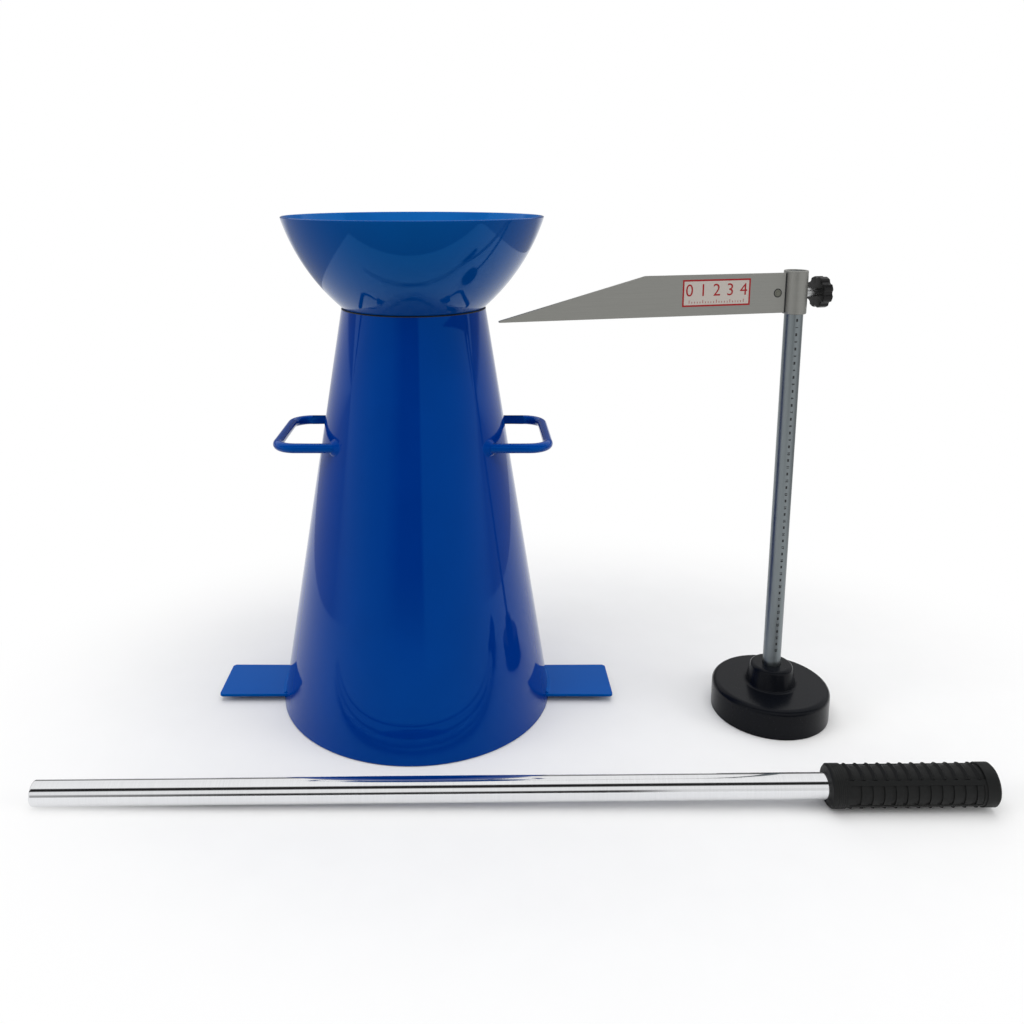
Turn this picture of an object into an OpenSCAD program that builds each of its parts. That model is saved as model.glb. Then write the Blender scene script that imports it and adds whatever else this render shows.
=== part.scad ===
// Slump test set for fresh concrete: cone mould with funnel, slump gauge and tamping rod.
// The origin is on the ground at the cone's axis, +X towards the gauge, -Y towards the rod, +Z up.

/* [Cone mould] */
// Height of the cone
cone_h = 300; // [250:1:350]
// Inside diameter at the foot
cone_base_d = 200; // [180:1:220]
// Inside diameter at the mouth
cone_top_d = 100; // [90:1:110]
// Sheet thickness of the cone
cone_wall = 2; // [1.5:0.1:3]
// Width of the weld bead along the rolled seam
seam_w = 5; // [3:0.5:8]
// Width of the bead's raised middle
seam_crown_w = 3; // [1:0.5:3]
// Height of the seam bead above the sheet
seam_h = 0.9; // [0.5:0.1:1.5]

/* [Handles] */
// Height of the handle bars above the ground
handle_z = 205; // [170:1:230]
// Distance between the two legs of a handle, axis to axis
handle_span = 80; // [60:1:100]
// Distance that a handle stands out from the sheet at its height
handle_stand = 32.1; // [26:0.1:50]
// Diameter of the handle bar
handle_bar_d = 7; // [5:0.1:10]
// Bend radius at the bar's centre line
handle_bend_r = 14; // [10:0.5:18]
// Radius of the round weld bead at a handle's root
root_bead_r = 6.2; // [5:0.1:7]
// Depth of the bead's centre under the sheet
root_bead_sink = 1.6; // [0.5:0.1:2.5]

/* [Foot plates] */
// Thickness of a foot plate
foot_t = 2; // [1.5:0.5:6]
// Width of a foot plate
foot_w = 44; // [30:1:60]
// Distance that a foot plate stands out beyond the cone's lower edge
foot_stand = 47; // [30:1:70]
// Corner radius of a foot plate
foot_corner_r = 2; // [1:0.5:10]
// Height of a foot plate's underside above the ground
foot_lift = 4.5; // [3.5:0.5:8]
// Leg length of the fillet welds at the foot plates
foot_weld = 3; // [1.5:0.5:3]
// Depth that these welds bite into a plate
foot_weld_bite = 0.4; // [0.2:0.1:0.8]

/* [Funnel] */
// Height of the funnel above the cone
funnel_h = 65; // [50:1:80]
// Outside diameter of the funnel's rim
funnel_rim_d = 186.8; // [170:0.2:200]
// Outside diameter of the funnel where it stands on the cone's mouth
funnel_foot_d = 102.4; // [101:0.2:104]
// Radius of the bowl's curved side
bowl_arc_r = 142; // [110:1:200]
// Sheet thickness of the bowl
bowl_wall = 1.5; // [1:0.1:2.5]
// Depth of the spigot below the cone's mouth
spigot_l = 20; // [10:1:40]
// Wall of the spigot
spigot_wall = 1.5; // [1:0.1:2.5]
// Height of the spigot's welded edge above the cone's mouth
spigot_rise = 4; // [3:0.5:8]
// Radial clearance of the spigot in the cone's mouth
spigot_clearance = 0.6; // [0.3:0.1:1.5]

/* [Gauge stand] */
// Place of the gauge's post, to the side of the cone's axis
gauge_x = 265; // [260:1:320]
// Place of the gauge's post, in front of the cone's axis
gauge_y = 30; // [20:1:40]
// Diameter of the base
base_d = 84; // [70:1:100]
// Height of the base's disc
base_h = 22; // [18:0.5:30]
// Radius of the base's upper edge
base_edge_r = 4; // [1:0.5:8]
// Diameter of the boss at its foot
boss_d = 36; // [32:0.5:50]
// Height of the boss on the disc
boss_h = 15; // [10:0.5:25]
// Taper of the boss's side, in degrees
boss_taper = 12; // [4:1:15]
// Radius of the boss's upper edge
boss_edge_r = 3; // [1:0.5:4]
// Diameter of the post
post_d = 12.7; // [10:0.1:16]
// Wall of the post's tube
post_wall = 1.2; // [0.8:0.1:2]
// Height of the socket's floor above the ground
socket_floor = 11; // [10:0.5:14]
// Length of the plug in the post's lower end
plug_l = 16; // [12:1:30]
// Diameter of the screws' shanks
screw_d = 6; // [5:0.5:6]
// Diameter of the base screw's head
screw_head_d = 10.5; // [9:0.5:13]
// Height of the base screw's head
screw_head_h = 4; // [3:0.5:4]
// Length of the base screw's shank
base_screw_l = 18; // [14:1:24]
// Diameter of the washer under the screw's head
washer_d = 16; // [14:0.5:19]
// Thickness of the washer
washer_t = 1.6; // [1:0.1:2]
// Depth of the recess for the screw's head
recess_depth = 7; // [6.5:0.5:8]
// Diameter of that recess
recess_d = 20; // [20:0.5:26]

/* [Gauge arm] */
// Swing of the blade towards the front, in degrees
arm_swing = 13.5; // [13.5:0.5:30]
// Distance from the post's axis to the blade's tip
blade_reach = 212; // [190:1:220]
// Height of the blade
blade_h = 27.5; // [20:0.5:32]
// Length of the blade's sloping upper edge
blade_slope_l = 100; // [60:1:130]
// Height of the blade's blunt tip
blade_tip_h = 1; // [0.5:0.1:3]
// Thickness of the blade
blade_t = 2; // [1.5:0.1:3]
// Outside diameter of the sliding collar
collar_d = 16.4; // [16:0.1:20]
// Height of the collar above the blade's upper edge
collar_rise = 1.5; // [0.5:0.1:4]
// Length of the collar below the blade's lower edge
collar_drop = 1; // [0.5:0.1:4]
// Radius of the collar's upper edge
collar_edge_r = 0.8; // [0.3:0.1:1]
// Length of the collar's lug behind the blade, from the post's axis
lug_l = 22; // [18:0.5:30]
// Thickness of the lug
lug_t = 2; // [1.5:0.1:3]
// Margin of the lug inside the blade's upper and lower edges
lug_margin = 2; // [1:0.5:5]
// Distance from the post's axis to the rivet
rivet_x = 14.5; // [13:0.5:16]
// Diameter of the rivet's shank
rivet_d = 4; // [3:0.1:5]
// Diameter of the rivet's heads
rivet_head_d = 5; // [5:0.1:7]
// Height of the rivet's heads
rivet_head_h = 0.6; // [0.4:0.1:1.5]
// Height of the clamp screw above the blade's lower edge
clamp_z = 13.5; // [11:0.5:18]
// Bare length of the clamp screw between collar and knob
clamp_gap = 7.5; // [4:0.5:12]
// Diameter of the clamp knob
knob_d = 22; // [18:0.5:30]
// Thickness of the clamp knob
knob_t = 8.5; // [7:0.5:14]
// Radius of the knob's domed face
knob_dome_r = 40; // [30:1:80]
// Number of finger flutes on the knob
knob_flutes = 8; // [5:1:12]
// Radius of a finger flute
knob_flute_r = 3; // [2:0.5:4]
// Depth of a finger flute
knob_flute_depth = 1.2; // [0.5:0.1:2]
// Depth of the screw in the knob
knob_hold = 5; // [4:0.5:6]

/* [Tamping rod] */
// Length of the steel rod
rod_l = 600; // [450:1:650]
// Diameter of the steel rod
rod_d = 16; // [12:0.5:18]
// Radius of the rounded edge at the rod's ends
rod_edge_r = 1.5; // [0.5:0.1:4]
// Place of the rod's tip, to the left of the cone's axis
rod_left = 236; // [200:1:260]
// Distance of the rod in front of the cone's axis
rod_front = 140; // [118:1:160]
// Length of rod inside the grip
grip_hold = 98; // [80:1:120]
// Thickness of the grip's closed end
grip_end = 6; // [3:0.5:10]
// Diameter of the grip's end bands
grip_d = 26.4; // [24:0.2:32]
// Diameter of the grip between its ribs
grip_core_d = 23.6; // [21.5:0.2:24]
// Length of the grip's end bands
grip_band_l = 9; // [6:0.5:14]
// Chamfer of the grip's ends
grip_chamfer = 1.2; // [0.5:0.1:1.5]
// Number of ribs round the grip
grip_ribs = 12; // [6:1:14]
// Width of a rib at its root
grip_rib_w = 3; // [2:0.1:4]
// Height of the smooth thumb pads on the grip's two sides
pad_h = 19; // [16:0.5:20]
// Height of the ribbed panel in a thumb pad
panel_h = 14; // [8:0.5:14]
// Margin between the panel and the grip's end bands
panel_margin = 1.5; // [0.5:0.1:2]
// Depth of the panel under the pad
panel_depth = 1; // [0.5:0.1:1.2]
// Width of a bar in the panel
panel_bar_w = 4.6; // [3:0.1:5]
// Height of a bar over the panel's floor
panel_bar_h = 0.6; // [0.3:0.1:1]

/* [Fits] */
// Radial clearance of sliding and turning fits
running_clearance = 0.05; // [0.02:0.01:0.1]
// Clearance between the bowl and the weld bead laid in it
seat_clearance = 0.03; // [0.01:0.01:0.1]
// Gap between the clamp screw's tip and the post
tip_gap = 0.3; // [0.2:0.1:0.5]

/* [Hidden] */
$fn = 96;

// Cone: the wall is measured square to the sheet
taper = atan((cone_base_d - cone_top_d) / 2 / cone_h);
wall_across = cone_wall / cos(taper);
cone_foot_r = cone_base_d / 2 + wall_across;
cone_mouth_r = cone_top_d / 2 + wall_across;
function cone_r(z) = cone_foot_r - z * tan(taper);

// Handles
bar_r = handle_bar_d / 2;
leg_y = handle_span / 2;
grip_bar_x = cone_r(handle_z) + handle_stand - bar_r;
root_x = sqrt(pow(cone_r(handle_z), 2) - leg_y * leg_y);

// Foot plates
foot_top = foot_lift + foot_t;
foot_reach = cone_foot_r + foot_stand;
foot_root = cone_r(foot_top) - foot_w / 2;

// Funnel: one arc through its foot and its rim
spigot_r = cone_top_d / 2 - spigot_clearance;
foot_pt = [funnel_foot_d / 2, cone_h];
rim_pt = [funnel_rim_d / 2, cone_h + funnel_h];
chord = rim_pt - foot_pt;
arc_rise = sqrt(pow(bowl_arc_r, 2) - pow(norm(chord) / 2, 2));
arc_centre = (foot_pt + rim_pt) / 2 + [-chord[1], chord[0]] / norm(chord) * arc_rise;

// Gauge
post_r = post_d / 2;
collar_r = collar_d / 2;
boss_top = base_h + boss_h;
blade_z = cone_h;
collar_bottom = blade_z - collar_drop;
collar_top = blade_z + blade_h + collar_rise;
post_top = collar_top - collar_edge_r;
screw_r = screw_d / 2;
knob_face_x = collar_r + clamp_gap;
screw_tip_x = post_r + tip_gap;
screw_head_z = recess_depth - washer_t - screw_head_h;

// Tamping rod: it lies on the rod's tip and on the grip's front band
rod_r = rod_d / 2;
grip_r = grip_d / 2;
grip_start = rod_l - grip_hold;
grip_l = grip_hold + grip_end;
ribbed_l = grip_l - 2 * grip_band_l;
rib_pitch = ribbed_l / grip_ribs;
rod_tilt = atan((grip_r - rod_r) / (grip_start + grip_chamfer - rod_edge_r));
rod_axis_z = rod_r * cos(rod_tilt) - rod_edge_r * sin(rod_tilt);
grip_core_r = grip_core_d / 2;
pad_r = grip_r - grip_chamfer / 2;
panel_floor_r = pad_r - panel_depth;
panel_l = ribbed_l - 2 * panel_margin;

// Length added to a cutting solid so that it passes right through
past = 10;

module blue() { color([0.0, 0.22, 0.55]) children(); }
module steel() { color([0.5, 0.5, 0.48]) children(); }
module black() { color([0.07, 0.07, 0.08]) children(); }

module outer_cone() {
    rotate_extrude() polygon([[0, 0], [cone_foot_r, 0], [cone_mouth_r, cone_h], [0, cone_h]]);
}

// A square with its two outer corners rounded, from x = from to x = to
module plate_outline(from, to, width, corner) {
    translate([from, -width / 2]) square([to - from - corner, width]);
    translate([from, corner - width / 2]) square([to - from, width - 2 * corner]);
    for (side = [-1, 1]) translate([to - corner, side * (width / 2 - corner)]) circle(corner);
}

// Half section of a disc with a rounded upper edge
module disc_section(radius, height, edge) {
    square([radius - edge, height]);
    square([radius, height - edge]);
    translate([radius - edge, height - edge]) circle(edge);
}

// Half section of a tapered boss with a rounded upper edge
module boss_section(radius, height, slope, edge) {
    edge_x = radius - (edge + (height - edge) * sin(slope)) / cos(slope);
    tangent = [edge_x + edge * cos(slope), height - edge + edge * sin(slope)];
    polygon([[0, 0], [radius, 0], tangent, [edge_x, height], [0, height]]);
    translate([edge_x, height - edge]) circle(edge);
}

module at_post() { translate([gauge_x, -gauge_y, 0]) children(); }

// The arm's own frame: the blade points along -X, with its lower edge at z = 0
module on_arm() { at_post() translate([0, 0, blade_z]) rotate([0, 0, arm_swing]) children(); }

// The clamp's own frame: the screw's axis runs along +Z, out from the post
module on_clamp() { on_arm() translate([0, 0, clamp_z]) rotate([0, 90, 0]) children(); }

// The rod's own frame: its axis runs along +Z from the tip to the grip
module on_rod() {
    translate([-rod_left, -rod_front, rod_axis_z]) rotate([0, 90 - rod_tilt, 0]) children();
}

module cone_shell() {
    blue() rotate_extrude() polygon([
        [cone_base_d / 2, 0], [cone_foot_r, 0], [cone_mouth_r, cone_h], [cone_top_d / 2, cone_h]
    ]);
}

// A strip of sheet laid on the cone's back, width across and height proud of it
module seam_strip(width, height) {
    intersection() {
        rotate_extrude() polygon([
            [cone_foot_r, 0], [cone_foot_r + height, 0],
            [cone_mouth_r + height, cone_h], [cone_mouth_r, cone_h]
        ]);
        translate([-width / 2, 0, 0]) cube([width, 2 * cone_foot_r, cone_h]);
    }
}

module seam_weld() {
    blue() {
        seam_strip(seam_w, seam_h / 2);
        seam_strip(seam_crown_w, seam_h);
    }
}

module handle_bar() {
    corner_x = grip_bar_x - handle_bend_r;
    corner_y = leg_y - handle_bend_r;
    translate([0, 0, handle_z]) {
        for (side = [-1, 1]) {
            translate([0, side * leg_y, 0]) rotate([0, 90, 0]) cylinder(r = bar_r, h = corner_x);
            translate([corner_x, side * corner_y, 0]) rotate([0, 0, side > 0 ? 0 : -90])
                rotate_extrude(angle = 90) translate([handle_bend_r, 0]) circle(bar_r);
        }
        translate([grip_bar_x, -corner_y, 0]) rotate([-90, 0, 0])
            cylinder(r = bar_r, h = 2 * corner_y);
    }
}

module right_handle() {
    blue() difference() {
        handle_bar();
        outer_cone();
    }
}

module left_handle() { mirror([1, 0, 0]) right_handle(); }

module handle_welds() {
    blue() for (side = [0, 1], leg = [-1, 1]) mirror([side, 0, 0]) difference() {
        translate([root_x - root_bead_sink, leg * leg_y, handle_z]) sphere(root_bead_r);
        outer_cone();
        translate([0, leg * leg_y, handle_z]) rotate([0, 90, 0]) cylinder(r = bar_r, h = grip_bar_x);
    }
}

module right_foot_plate() {
    blue() difference() {
        translate([0, 0, foot_lift]) linear_extrude(foot_t)
            plate_outline(foot_root, foot_reach, foot_w, foot_corner_r);
        outer_cone();
        foot_weld_rings();
    }
}

module left_foot_plate() { mirror([1, 0, 0]) right_foot_plate(); }

// Fillet weld ring on the cone, from a plate's face at level z towards z + rise
module weld_ring(z, rise) {
    toe_r = cone_r(z) + abs(rise);
    root_z = z - sign(rise) * foot_weld_bite;
    rotate_extrude() polygon([
        [cone_r(root_z), root_z], [toe_r, root_z], [toe_r, z], [cone_r(z + rise), z + rise]
    ]);
}

module foot_weld_rings() {
    weld_ring(foot_top, foot_weld);
    weld_ring(foot_lift, -foot_weld);
}

module foot_plate_welds() {
    blue() for (side = [-1, 1]) intersection() {
        foot_weld_rings();
        translate([side > 0 ? 0 : -foot_reach, -foot_w / 2, 0])
            cube([foot_reach, foot_w, foot_top + past]);
    }
}

// Everything inside the bowl's outer or inner arc
module arc_disc(radius) { translate(arc_centre) circle(radius, $fn = 360); }

module funnel_bowl() {
    blue() rotate_extrude() difference() {
        intersection() {
            arc_disc(bowl_arc_r);
            translate([spigot_r, cone_h]) square([funnel_rim_d, funnel_h]);
        }
        arc_disc(bowl_arc_r - bowl_wall);
    }
}

module funnel_spigot() {
    blue() translate([0, 0, cone_h - spigot_l]) difference() {
        cylinder(r = spigot_r, h = spigot_l + spigot_rise);
        translate([0, 0, -past])
            cylinder(r = spigot_r - spigot_wall, h = spigot_l + spigot_rise + 2 * past);
    }
}

module funnel_weld() {
    blue() rotate_extrude() intersection() {
        translate([spigot_r, cone_h]) square([funnel_rim_d, spigot_rise]);
        arc_disc(bowl_arc_r - bowl_wall - seat_clearance);
    }
}

module gauge_base() {
    black() at_post() difference() {
        rotate_extrude() {
            disc_section(base_d / 2, base_h, base_edge_r);
            translate([0, base_h]) boss_section(boss_d / 2, boss_h, boss_taper, boss_edge_r);
        }
        translate([0, 0, socket_floor]) cylinder(r = post_r + running_clearance, h = boss_top);
        translate([0, 0, -past]) cylinder(r = screw_r + running_clearance, h = boss_top);
        translate([0, 0, -past]) cylinder(d = recess_d, h = recess_depth + past);
    }
}

module post_tube() {
    steel() at_post() translate([0, 0, socket_floor]) difference() {
        cylinder(r = post_r, h = post_top - socket_floor);
        translate([0, 0, -past]) cylinder(r = post_r - post_wall, h = post_top + past);
    }
}

module post_plug() {
    steel() at_post() translate([0, 0, socket_floor]) difference() {
        cylinder(r = post_r - post_wall - running_clearance, h = plug_l);
        translate([0, 0, -past]) cylinder(r = screw_r + running_clearance, h = plug_l + 2 * past);
    }
}

module base_screw() {
    steel() at_post() translate([0, 0, screw_head_z]) {
        cylinder(d = screw_head_d, h = screw_head_h);
        cylinder(r = screw_r, h = screw_head_h + base_screw_l);
    }
}

module base_washer() {
    steel() at_post() translate([0, 0, recess_depth - washer_t]) difference() {
        cylinder(d = washer_d, h = washer_t);
        translate([0, 0, -past]) cylinder(r = screw_r + running_clearance, h = washer_t + 2 * past);
    }
}

module rivet_hole() {
    translate([-rivet_x, -past, blade_h / 2]) rotate([-90, 0, 0])
        cylinder(r = rivet_d / 2 + running_clearance, h = 2 * past);
}

module slide_collar() {
    collar_l = collar_top - collar_bottom;
    steel() on_arm() difference() {
        union() {
            translate([0, 0, -collar_drop]) rotate_extrude()
                disc_section(collar_r, collar_l, collar_edge_r);
            translate([-lug_l, 0, lug_margin]) cube([lug_l, lug_t, blade_h - 2 * lug_margin]);
        }
        translate([0, 0, -past]) cylinder(r = post_r + running_clearance, h = collar_l + 2 * past);
        translate([0, 0, clamp_z]) rotate([0, 90, 0])
            cylinder(r = screw_r + running_clearance, h = collar_d);
        rivet_hole();
    }
}

module gauge_blade() {
    steel() on_arm() difference() {
        rotate([90, 0, 0]) linear_extrude(blade_t) polygon([
            [0, 0], [0, blade_h], [blade_slope_l - blade_reach, blade_h],
            [-blade_reach, blade_tip_h], [-blade_reach, 0]
        ]);
        translate([0, 0, -past]) cylinder(r = collar_r, h = blade_h + 2 * past);
        rivet_hole();
    }
}

module blade_rivet() {
    steel() on_arm() translate([-rivet_x, 0, blade_h / 2]) rotate([-90, 0, 0]) {
        translate([0, 0, -blade_t - rivet_head_h])
            cylinder(d = rivet_d, h = blade_t + lug_t + 2 * rivet_head_h);
        translate([0, 0, -blade_t - rivet_head_h]) cylinder(d = rivet_head_d, h = rivet_head_h);
        translate([0, 0, lug_t]) cylinder(d = rivet_head_d, h = rivet_head_h);
    }
}

module clamp_screw() {
    steel() on_clamp() translate([0, 0, screw_tip_x])
        cylinder(r = screw_r, h = knob_face_x + knob_hold - screw_tip_x);
}

module clamp_knob() {
    flute_x = knob_d / 2 + knob_flute_r - knob_flute_depth;
    black() on_clamp() translate([0, 0, knob_face_x]) difference() {
        rotate_extrude() intersection() {
            square([knob_d / 2, knob_t]);
            translate([0, knob_t - knob_dome_r]) circle(knob_dome_r, $fn = 360);
        }
        for (i = [0 : knob_flutes - 1]) rotate([0, 0, i * 360 / knob_flutes])
            translate([flute_x, 0, -past]) cylinder(r = knob_flute_r, h = knob_t + 2 * past);
        translate([0, 0, -past]) cylinder(r = screw_r + running_clearance, h = past + knob_hold);
    }
}

module rod_bar() {
    color([0.8, 0.8, 0.82]) on_rod() rotate_extrude() {
        square([rod_r - rod_edge_r, rod_l]);
        translate([0, rod_edge_r]) square([rod_r, rod_l - 2 * rod_edge_r]);
        for (z = [rod_edge_r, rod_l - rod_edge_r]) translate([rod_r - rod_edge_r, z]) circle(rod_edge_r);
    }
}

// Half section of the sleeve: a core, a chamfered band at each end and ribs between them
module grip_section() {
    square([grip_core_r, grip_l]);
    for (end = [0, 1]) translate([0, end * grip_l]) mirror([0, end]) polygon([
        [0, 0], [grip_r - grip_chamfer, 0], [grip_r, grip_chamfer],
        [grip_r, grip_band_l], [0, grip_band_l]
    ]);
    for (i = [0 : grip_ribs - 1]) translate([0, grip_band_l + (i + 0.5) * rib_pitch]) polygon([
        [0, -grip_rib_w / 2], [grip_core_r, -grip_rib_w / 2], [grip_r, 0],
        [grip_core_r, grip_rib_w / 2], [0, grip_rib_w / 2]
    ]);
}

// A box across the grip's +Y half, width by length, centred on the ribbed stretch
module side_box(width, length) {
    translate([-width / 2, 0, (grip_l - length) / 2]) cube([width, grip_d, length]);
}

module thumb_pad() {
    intersection() {
        cylinder(r = pad_r, h = grip_l);
        side_box(pad_h, ribbed_l);
    }
}

module panel_recess() {
    difference() {
        side_box(panel_h, panel_l);
        cylinder(r = panel_floor_r, h = grip_l);
    }
}

module panel_bars() {
    intersection() {
        cylinder(r = panel_floor_r + panel_bar_h, h = grip_l);
        for (i = [0 : grip_ribs - 1])
            translate([-panel_h / 2, 0, grip_band_l + (i + 0.5) * rib_pitch - panel_bar_w / 2])
                cube([panel_h, grip_d, panel_bar_w]);
    }
}

module rod_grip() {
    color([0.15, 0.15, 0.15]) on_rod() translate([0, 0, grip_start]) difference() {
        union() {
            difference() {
                union() {
                    rotate_extrude() grip_section();
                    for (side = [0, 1]) mirror([0, side, 0]) thumb_pad();
                }
                for (side = [0, 1]) mirror([0, side, 0]) panel_recess();
            }
            for (side = [0, 1]) mirror([0, side, 0]) panel_bars();
        }
        translate([0, 0, -past]) cylinder(r = rod_r + running_clearance, h = grip_hold + past);
    }
}

cone_shell();
seam_weld();
left_handle();
right_handle();
handle_welds();
left_foot_plate();
right_foot_plate();
foot_plate_welds();
funnel_bowl();
funnel_spigot();
funnel_weld();
gauge_base();
post_tube();
post_plug();
base_screw();
base_washer();
slide_collar();
gauge_blade();
blade_rivet();
clamp_screw();
clamp_knob();
rod_bar();
rod_grip();
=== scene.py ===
"""Slump test set, dressed over its CAD frame: cone mould with funnel, slump gauge and tamping rod."""
import math

import bmesh
import bpy
from mathutils import Matrix, Vector


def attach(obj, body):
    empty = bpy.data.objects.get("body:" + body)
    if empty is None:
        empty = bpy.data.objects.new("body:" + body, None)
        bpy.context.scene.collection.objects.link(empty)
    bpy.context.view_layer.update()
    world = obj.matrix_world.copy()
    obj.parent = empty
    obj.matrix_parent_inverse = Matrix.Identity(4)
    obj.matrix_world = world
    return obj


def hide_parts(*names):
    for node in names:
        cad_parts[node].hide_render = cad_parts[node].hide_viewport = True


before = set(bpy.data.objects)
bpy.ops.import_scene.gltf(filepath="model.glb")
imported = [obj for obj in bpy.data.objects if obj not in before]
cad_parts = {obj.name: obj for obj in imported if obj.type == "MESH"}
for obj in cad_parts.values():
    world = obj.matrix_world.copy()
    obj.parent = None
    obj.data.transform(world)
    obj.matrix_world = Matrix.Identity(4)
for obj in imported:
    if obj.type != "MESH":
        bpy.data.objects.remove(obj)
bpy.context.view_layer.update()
scene = bpy.context.scene

# Sizes of the mould, in millimetres like those of the part's source
CONE_H = 300
CONE_FOOT_R = 102.03
CONE_MOUTH_R = 52.03
CONE_ACROSS = 2.03  # sheet's thickness, measured level
CONE_LIP = 1.0
LIP_CENTRE = 0.85  # parts of the lip's radius, in from the corner
# How far the dark ring of painted shade, in the groove under the funnel, sinks into the lip
MOUTH_SHADE_SUNK = 0.1

# Sizes of its handles and foot plates
HANDLE_Z = 205
LEG_Y = 40
HANDLE_X = 96.46
HANDLE_BEND = 14
BAR_R = 3.5
LEG_SUNK = 0.8
FOOT_LOW = 4.5
FOOT_TOP = 6.5
FOOT_W = 44
FOOT_REACH = 149.03
FOOT_SUNK = 0.9
FOOT_CORNER = 2
FOOT_EDGE = 0.5

# Sizes of its welds
ROOT_FILLET = 2.9
ROOT_WAVE = 0.05
ROOT_WAVES = 5
FOOT_FILLET = 2.6
FOOT_FILLET_HALF = 20
FOOT_BITE = 0.3
FILLET_SUNK = 0.5
SEAM_BEAD = 1.8
SEAM_SUNK = 0.9
SEAM_END = 2.2
BEAD_PITCH = 0.9
BEAD_FLATNESS = 0.6
BEAD_UNEVEN = 0.08
BEAD_SEED = 0

# Sizes of the funnel
FUNNEL_TOP = 365
BOWL_WALL = 1.5
BOWL_ARC = 142  # radius of the bowl's side
BOWL_FOOT_EDGE = 0.7
BOWL_CENTRE = Vector((-42.27, 406.88))
SPIGOT_R = 49.4
SPIGOT_WALL = 1.5
SPIGOT_LOW = 280
SPIGOT_TOP = 304
SPIGOT_EDGE = 0.5
NECK_R = 51.0
NECK_Z = 302.4
NECK_BEAD = 1.7

# Sizes of the gauge's stand
POST_X = 265
POST_Y = -30
POST_R = 6.35
POST_WALL = 1.2
POST_LOW = 11
POST_TOP = 328.2
POST_FOOT_EDGE = 0.2
POST_TOP_EDGE = 0.4
POST_MOUTH_EDGE = 0.3
BASE_R = 42
BASE_H = 22
BASE_EDGE = 4
BASE_FOOT_EDGE = 0.8
BOSS_R = 18
BOSS_TOP = 37
BOSS_TOP_R = 14.8
BOSS_ROOT = 2
BOSS_EDGE = 3
BOSS_GAP = 0.03
BORE_EDGE = 0.5
RECESS_R = 10
RECESS_H = 7
RECESS_EDGE = 0.4
SCREW_HOLE_R = 3.05

# Sizes of the scale on the post
SCALE_L = 250
SCALE_STEP = 10
SCALE_STROKE_W = 1.3
SCALE_STROKE_H = 2
SCALE_NUMERAL = 1.7
SCALE_WEIGHT = 0.13
SCALE_ASIDE = 0.5
SCALE_FACET = 0.8  # longer edges are cut, to lie round the post

# Sizes of the gauge's arm
ARM_TURN = math.radians(13.5)
COLLAR_R = 8.2
COLLAR_BORE = 6.4
COLLAR_LOW = 299
COLLAR_TOP = 329
COLLAR_EDGE = 0.8
LUG_ROOT = 7.6
LUG_REACH = 22
LUG_LOW = 2
LUG_TOP = 25.5
LUG_T = 2
LUG_CORNER = 1.5
LUG_GAP = 0.02
BLADE_ROOT = 7.7
BLADE_REACH = 212
BLADE_H = 27.5
BLADE_SLOPE = 100  # length of its sloping end
BLADE_TIP = 1
BLADE_T = 2
BLADE_BEND = 6
SHEET_EDGE = 0.3

# Sizes of its rivet, and of print and painted shade
RIVET_X = -14.5
RIVET_Z = 313.75
RIVET_R = 2
RIVET_HEAD_R = 2.5
RIVET_HEAD_H = 0.6
RIVET_HEAD = ((0, 0), (0.2, 0.35), (0.9, RIVET_HEAD_H))  # in from the head's edge, and up
RIVET_DIMPLE_R = 1.3
RIVET_DIMPLE_H = 0.45
RIVET_SHADE_R = 3.1
RIVET_SHADE_H = 0.06
RIVET_SHADE_SUNK = 0.05
RIVET_SHADE_EDGE = 0.1
JOINT_SHADE_FROM = 8.0
JOINT_SHADE_TO = 9.1
FILM = 0.03
FILM_SUNK = 0.02

# Sizes of the label on the blade
LABEL_W = 50
LABEL_H = 18.2
LABEL_PLACE = 60.5
LABEL_LOW = 6.2
LABEL_BORDER = 1.15
LABEL_T = 0.08
LABEL_MARGIN = 5
LABEL_STEP = 2
LABEL_SHORT = 1.2
LABEL_LONG = 2.2
LABEL_STROKE = 0.4
LABEL_STROKES_Y = 2.2
LABEL_NUMBERS = 5
LABEL_SPACING = 10
LABEL_NUMERAL = 8.4
LABEL_NUMERAL_Y = 10.6
LABEL_PRINT_T = 0.04
LABEL_PRINT_SUNK = 0.01
FONT_PER_NUMERAL = 1.4  # font size for a numeral's height

# Sizes of the clamp
CLAMP_Z = 313.5
SCREW_R = 3
SCREW_TIP = 6.65
SCREW_END = 20.7
SCREW_CHAMFER = 0.5
KNOB_X = 15.7
KNOB_R = 11
KNOB_T = 8.5
KNOB_DOME = 40  # radius of its outer face
KNOB_EDGE = 1
KNOB_BACK = ((0.8, 0), (0.2, 0.3), (0, 0.9))  # in from the knob's edge, and up
FLUTES = 8
FLUTE_R = 3
FLUTE_DEPTH = 1.2

# Sizes of the tamping rod
ROD_L = 600
ROD_R = 8
ROD_EDGE = 1.5
ROD_TILT = math.radians(0.594)
ROD_TIP = Vector((-236, -140, 7.984))

# Sizes of its grip
GRIP_START = 502
GRIP_L = 104
GRIP_R = 13.2
GRIP_CORE = 11.8
GRIP_BAND = 9
GRIP_CHAMFER = 1.2
GRIP_GAP = 0.05
GRIP_STEP = 0.25
GRIP_RIBS = 12
RIB_W = 3
RIB_SUNK = 0.4
PAD_R = 12.6
PAD_HALF = 9.5
PANEL_HALF = 7
PANEL_MARGIN = 1.5
PANEL_FLOOR = 11.6
PANEL_BAR = 12.2
PANEL_BAR_W = 4.6
GROOVES_FROM = 1.8
GROOVES_TO = 8.2
GROOVE_PITCH = 1.28
GROOVE_LAND = 0.8
GROOVE_DEPTH = 0.18

# Distances in mesh work under which points are joined
JOIN_WITHIN = 0.002
JOIN_PRINT_WITHIN = 0.0005

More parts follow.
